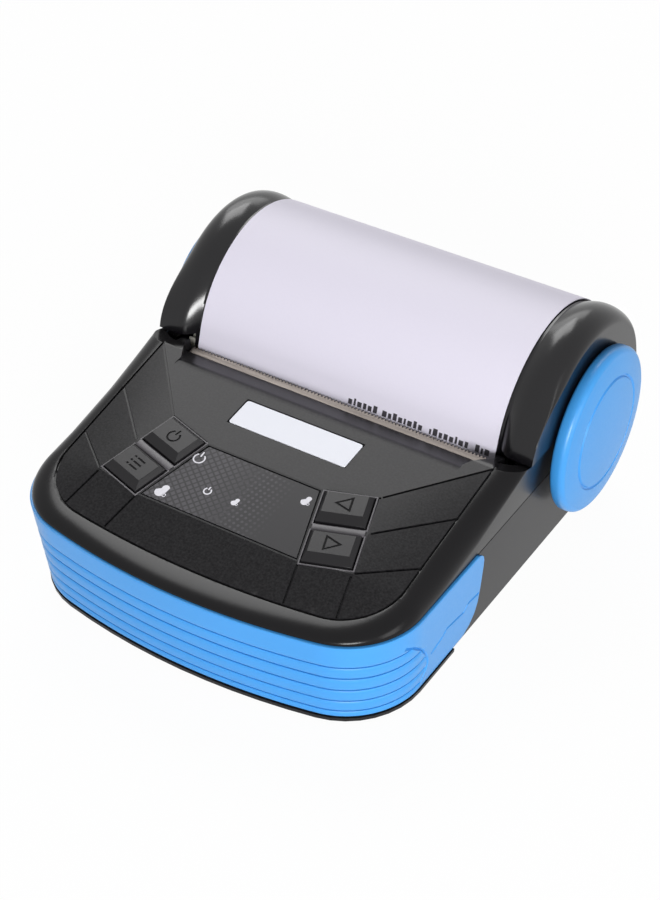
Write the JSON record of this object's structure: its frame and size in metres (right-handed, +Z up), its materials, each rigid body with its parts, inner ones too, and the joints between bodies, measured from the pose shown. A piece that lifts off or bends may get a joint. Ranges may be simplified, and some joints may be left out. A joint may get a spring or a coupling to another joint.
{
  "type": "wireless thermal receipt printer",
  "caption": "Portable receipt printer with a sloped key panel, ribbed front bumper, arched paper cover hinged at the rear with round side grips, tear bar and geared platen.",
  "frame": {"origin": "centre of the footprint, on the ground under the rubber feet", "axes": "+X to the right hand of a person at the keys, +Y from the keys back to the paper cover, +Z up"},
  "size_m": [0.1098, 0.119, 0.0555],
  "materials": {
    "black_case": "fine spark texture",
    "black_gloss": "polished",
    "black_key": "satin",
    "blue_bumper": "satin soft-touch",
    "key_film": "printed film",
    "label_white": "printed plate",
    "thermal_paper": "smooth coated paper",
    "card": "grey card",
    "steel": "rolled",
    "aluminium": "extruded",
    "ceramic": "glazed",
    "circuit_board": "solder mask",
    "black_rubber": "moulded",
    "gear_plastic": "acetal",
    "brass": "turned",
    "battery_wrap": "shrink wrap",
    "lamp_clear": "clear",
    "inner_black": "moulded"
  },
  "bodies": {
    "case": {"base_tray": "black_case", "top_housing": "black_case", "front_bumper": "blue_bumper", "tear_bar": "steel", "overlay_film": "key_film", "label_plate": "label_white", "power_switch": "steel", "menu_switch": "steel", "back_switch": "steel", "feed_switch": "steel", "control_board": "circuit_board", "status_lamp_1": "lamp_clear", "status_lamp_2": "lamp_clear", "status_lamp_3": "lamp_clear", "status_lamp_4": "lamp_clear", "board_screw_1": "steel", "board_screw_2": "steel", "battery_pack": "battery_wrap", "battery_hatch": "black_case", "hatch_screw": "steel", "mechanism_frame": "steel", "heat_sink": "aluminium", "print_head": "ceramic", "head_spring_left": "steel", "head_spring_right": "steel", "stepper_motor": "steel", "paper_sensor": "inner_black", "io_board": "circuit_board", "usb_socket": "steel", "charge_socket": "inner_black", "front_foot_right": "black_rubber", "front_foot_left": "black_rubber", "rear_foot_right": "black_rubber", "rear_foot_left": "black_rubber", "case_screw_front_right": "steel", "case_screw_front_left": "steel", "case_screw_rear_right": "steel", "case_screw_rear_left": "steel", "hinge_pin": "steel", "paper_bin": "inner_black", "paper_web": "thermal_paper"},
    "cover": {"cover_shell": "black_gloss", "cover_liner": "inner_black", "grip_right": "blue_bumper", "grip_left": "blue_bumper", "platen_bush_right": "brass", "platen_bush_left": "brass", "paper_strip": "thermal_paper"},
    "platen": {"platen_roller": "black_rubber", "platen_shaft": "steel", "platen_gear": "gear_plastic"},
    "lower_idler": {"idler_gear_lower": "gear_plastic"},
    "front_idler": {"idler_gear_front": "gear_plastic"},
    "motor_shaft": {"motor_pinion": "brass"},
    "roll": {"paper_roll": "thermal_paper", "roll_core": "card"},
    "power_button": {"power_key": "black_key"},
    "menu_button": {"menu_key": "black_key"},
    "back_button": {"back_key": "black_key"},
    "feed_button": {"feed_key": "black_key"}
  },
  "joints": [
    {"name": "cover_hinge", "type": "hinge", "parent": "case", "child": "cover", "pos_m": [0, 0.05635, 0.0275], "axis": [-1, 0, 0], "range_deg": [0, 90]},
    {"name": "platen_spin", "type": "hinge", "parent": "cover", "child": "platen", "pos_m": [0, 0.0137, 0.0245], "axis": [1, 0, 0], "continuous": true},
    {"name": "lower_idler_spin", "type": "hinge", "parent": "case", "child": "lower_idler", "pos_m": [0, 0.0137, 0.0125], "axis": [1, 0, 0], "continuous": true},
    {"name": "front_idler_spin", "type": "hinge", "parent": "case", "child": "front_idler", "pos_m": [0, 0.00059, 0.011], "axis": [1, 0, 0], "continuous": true},
    {"name": "motor_spin", "type": "hinge", "parent": "case", "child": "motor_shaft", "pos_m": [0, -0.00949, 0.0126], "axis": [1, 0, 0], "continuous": true},
    {"name": "roll_spin", "type": "hinge", "parent": "case", "child": "roll", "pos_m": [0, 0.0363, 0.0213], "axis": [1, 0, 0], "continuous": true},
    {"name": "power_press", "type": "slide", "parent": "case", "child": "power_button", "axis": [0, 0.1867, -0.9824], "range_m": [0, 0.0005], "stiffness_N_per_m": 600, "springref_m": -0.001},
    {"name": "menu_press", "type": "slide", "parent": "case", "child": "menu_button", "axis": [0, 0.1867, -0.9824], "range_m": [0, 0.0005], "stiffness_N_per_m": 600, "springref_m": -0.001},
    {"name": "back_press", "type": "slide", "parent": "case", "child": "back_button", "axis": [0, 0.1867, -0.9824], "range_m": [0, 0.0005], "stiffness_N_per_m": 600, "springref_m": -0.001},
    {"name": "feed_press", "type": "slide", "parent": "case", "child": "feed_button", "axis": [0, 0.1867, -0.9824], "range_m": [0, 0.0005], "stiffness_N_per_m": 600, "springref_m": -0.001}
  ],
  "couplings": [
    {"joint": "lower_idler_spin", "follows": "platen_spin", "ratio": -0.81818},
    {"joint": "front_idler_spin", "follows": "platen_spin", "ratio": 0.81818},
    {"joint": "motor_spin", "follows": "platen_spin", "ratio": -1.5},
    {"joint": "roll_spin", "follows": "platen_spin", "ratio": 0.29412}
  ]
}
